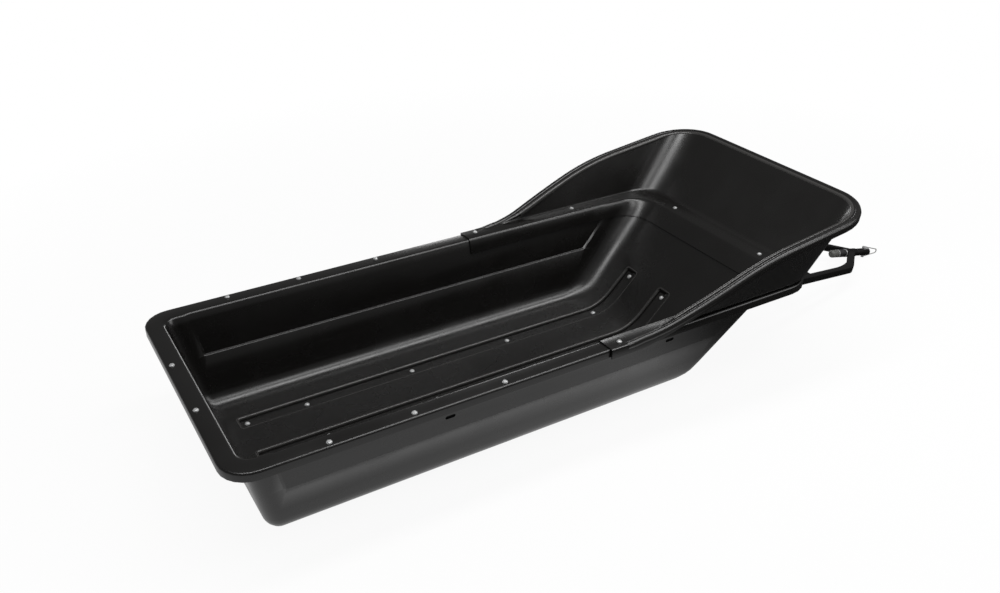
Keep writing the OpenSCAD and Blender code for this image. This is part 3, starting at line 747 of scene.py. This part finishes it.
def screw_pattern(sizes):
    """One domed screw on its washer, modelled at the origin with its head upwards."""
    deselect_all()
    bpy.ops.mesh.primitive_cylinder_add(
        vertices=24, radius=sizes.washer_d * MM / 2, depth=1.2 * MM, location=(0, 0, 0.6 * MM))
    washer = bpy.context.object
    deselect_all()
    bpy.ops.mesh.primitive_cylinder_add(
        vertices=24, radius=sizes.head_d * MM / 2, depth=sizes.head_h * MM,
        location=(0, 0, (1.2 + sizes.head_h / 2) * MM))
    head = bpy.context.object
    bevel = head.modifiers.new("dome", "BEVEL")
    bevel.width = sizes.head_h * 0.7 * MM
    bevel.segments = 3
    bevel.limit_method = "ANGLE"
    bevel.angle_limit = math.radians(60)
    apply_all_modifiers(head)
    make_active(head)
    washer.select_set(True)
    bpy.ops.object.join()
    head.name = "screw_pattern"
    bpy.ops.object.transform_apply(location=True, rotation=True, scale=True)
    bpy.ops.object.shade_smooth_by_angle(angle=math.radians(40))
    return head


class SLED_OT_screws(bpy.types.Operator):
    """Sets the rim's, the cowl's and the runners' screws"""
    bl_idname = "sled.screws"
    bl_label = "Screws"

    def execute(self, context):
        sizes = context.scene.sled_screws
        zinc = zinc_plate("zinc_plated_screws", context.scene.sled_finish.zinc_colour)
        pattern = screw_pattern(sizes)
        tub = surface_tree("tub")
        cowl = surface_tree("cowl")
        tub_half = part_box("tub")[1].y - sizes.side_inset * MM
        rim_xs = (0.271, 0.510, 0.788)
        floor_xs = (0.216, 0.414, 0.792, 1.171, 1.55, 1.713)
        above = CAD_HIGH.z + 0.1
        spots = []
        for side in (-1, 1):
            spots += [(tub, x, side * tub_half) for x in rim_xs]
            spots.append((tub, sizes.rear_inset * MM, side * sizes.rear_half_span * MM))
            spots.append((cowl, 1.181, side * tub_half))
            spots.append((cowl, 1.599, side * 0.424))
            spots.append((cowl, 1.94, side * 0.225))
        for channel in (-1, 0, 1):
            spots += [(tub, x, channel * sizes.channel_pitch * MM) for x in floor_xs]
        for number, (tree, x, y) in enumerate(spots):
            place, normal = set_down(tree, REAR_X + x, y, above)
            piece = copy_to(pattern, f"screw_{number:02d}", place, normal)
            finish_piece(piece, "sled", zinc)
        bpy.data.objects.remove(pattern)
        return {"FINISHED"}


# Stage


def studio_white():
    # White studio sweep: painted white and shown as plain white to the camera, except
    # round the sled, where its shadow falls. A black flag lies on the sweep beside the
    # bow, which the sled's glossy sheet reflects but the camera doesn't show
    material, shader = new_material("white_sweep", Base_Color=linear("#f4f4f4"), Roughness=0.9)
    tree = material.node_tree
    path = add_node(material, "ShaderNodeLightPath")
    coordinates = add_node(material, "ShaderNodeTexCoord")
    away = add_node(material, "ShaderNodeVectorMath", settings={"operation": "LENGTH"},
                    links={0: (coordinates, "Object")})
    share = add_node(material, "ShaderNodeMapRange",
                     inputs={"From Min": 1.2, "From Max": 3.2, "To Min": 0.93, "To Max": 1.0},
                     links={"Value": (away, "Value")})
    place = add_node(material, "ShaderNodeSeparateXYZ", links={"Vector": (coordinates, "Object")})
    mirrored = add_node(material, "ShaderNodeMapRange",
                        settings={"interpolation_type": "SMOOTHSTEP"},
                        inputs={"From Min": -0.05, "From Max": 0.45, "To Min": 0.72,
                                "To Max": 0.05},
                        links={"Value": (place, "X")})
    glow = add_node(material, "ShaderNodeEmission", inputs={"Color": (1, 1, 1, 1), "Strength": 1.0})
    shown = add_node(material, "ShaderNodeMixShader",
                     links={"Fac": (share, "Result"), 1: (shader, "BSDF"), 2: (glow, "Emission")})
    flag = add_node(material, "ShaderNodeEmission", inputs={"Color": (1, 1, 1, 1)},
                    links={"Strength": (mirrored, "Result")})
    lit = add_node(material, "ShaderNodeMixShader",
                   links={"Fac": (path, "Is Glossy Ray"), 1: (shader, "BSDF"),
                          2: (flag, "Emission")})
    mix = add_node(material, "ShaderNodeMixShader",
                   links={"Fac": (path, "Is Camera Ray"), 1: (lit, "Shader"),
                          2: (shown, "Shader")})
    tree.links.new(mix.outputs[0], tree.nodes["Material Output"].inputs["Surface"])
    return material


def add_softbox(name, place, aim, size, watts):
    light = bpy.data.lights.new(name, "AREA")
    light.shape = "RECTANGLE"
    light.size, light.size_y = size
    light.energy = watts
    lamp = bpy.data.objects.new(name, light)
    bpy.context.scene.collection.objects.link(lamp)
    lamp.location = place
    lamp.rotation_euler = (Vector(aim) - Vector(place)).to_track_quat("-Z", "Y").to_euler()
    return lamp


class SLED_OT_stage(bpy.types.Operator):
    """Sets the floor, the lights and the camera"""
    bl_idname = "sled.stage"
    bl_label = "Stage"

    def execute(self, context):
        sizes = context.scene.sled_stage
        scene = context.scene
        deselect_all()
        bpy.ops.mesh.primitive_plane_add(size=sizes.floor_size, location=(0, 0, CAD_LOW.z))
        floor = context.object
        floor.name = "studio_floor"
        floor.data.materials.append(studio_white())
        floor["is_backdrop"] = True

        world = bpy.data.worlds.new("studio_air")
        world.use_nodes = True
        scene.world = world
        background = world.node_tree.nodes["Background"]
        path = world.node_tree.nodes.new("ShaderNodeLightPath")
        strength = world.node_tree.nodes.new("ShaderNodeMapRange")
        strength.inputs["To Min"].default_value = 0.16
        strength.inputs["To Max"].default_value = 1.0
        world.node_tree.links.new(path.outputs["Is Camera Ray"], strength.inputs["Value"])
        world.node_tree.links.new(strength.outputs["Result"], background.inputs["Strength"])
        background.inputs["Color"].default_value = (1, 1, 1, 1)

        middle = REAR_X + 1.25
        add_softbox("overhead_strip", (middle, -0.1, 3.0), (middle, -0.1, 0), (4.6, 0.55), 66)
        add_softbox("second_strip", (middle + 1.0, -1.35, 3.0), (middle + 1.0, -1.35, 0),
                    (3.0, 0.8), 34)
        add_softbox("low_far_panel", (REAR_X + 4.2, 5.0, 1.1), (REAR_X + 2.2, 0, 0.5),
                    (2.4, 1.2), 40)
        add_softbox("bow_panel", (3.2, -2.3, 2.6), (0.3, -0.5, 0.5), (2.2, 1.6), 35)

        camera_data = bpy.data.cameras.new("photo_camera")
        camera_data.sensor_width = 36.0
        camera_data.lens = sizes.lens
        camera = bpy.data.objects.new("photo_camera", camera_data)
        scene.collection.objects.link(camera)
        camera.location = (REAR_X - 0.336, -2.287, 1.842)
        camera.rotation_euler = (math.radians(sizes.camera_pitch), 0.0,
                                 math.radians(sizes.camera_turn))
        scene.camera = camera
        scene.view_settings.view_transform = "Standard"
        return {"FINISHED"}


class SLED_PT_build(bpy.types.Panel):
    """Lists the sled's building steps and their sizes"""
    bl_idname = "SLED_PT_build"
    bl_label = "Snow Sled"
    bl_space_type = "VIEW_3D"
    bl_region_type = "UI"
    bl_category = "Sled"

    def draw(self, context):
        for operator in STEPS:
            self.layout.operator(operator.bl_idname)
        for group in GROUPS:
            box = self.layout.box()
            for prop in GROUPS[group].__annotations__:
                box.prop(getattr(context.scene, group), prop)


STEPS = (SLED_OT_stage, SLED_OT_tub, SLED_OT_channels, SLED_OT_cowl, SLED_OT_runners, SLED_OT_tongue,
         SLED_OT_coupler, SLED_OT_screws)
GROUPS = {"sled_finish": SledFinish, "sled_tub": TubSizes, "sled_cowl": CowlSizes,
          "sled_screws": ScrewSizes, "sled_stage": StageSizes}


def register():
    for cls in (*GROUPS.values(), *STEPS, SLED_PT_build):
        bpy.utils.register_class(cls)
    for name, group in GROUPS.items():
        setattr(bpy.types.Scene, name, PointerProperty(type=group))


def unregister():
    for name in GROUPS:
        delattr(bpy.types.Scene, name)
    for cls in reversed((*GROUPS.values(), *STEPS, SLED_PT_build)):
        bpy.utils.unregister_class(cls)


def main():
    register()
    bpy.ops.sled.stage()
    bpy.ops.sled.tub()
    bpy.ops.sled.channels()
    bpy.ops.sled.cowl()
    bpy.ops.sled.runners()
    bpy.ops.sled.tongue()
    bpy.ops.sled.coupler()
    bpy.ops.sled.screws()


if __name__ == "__main__":
    main()
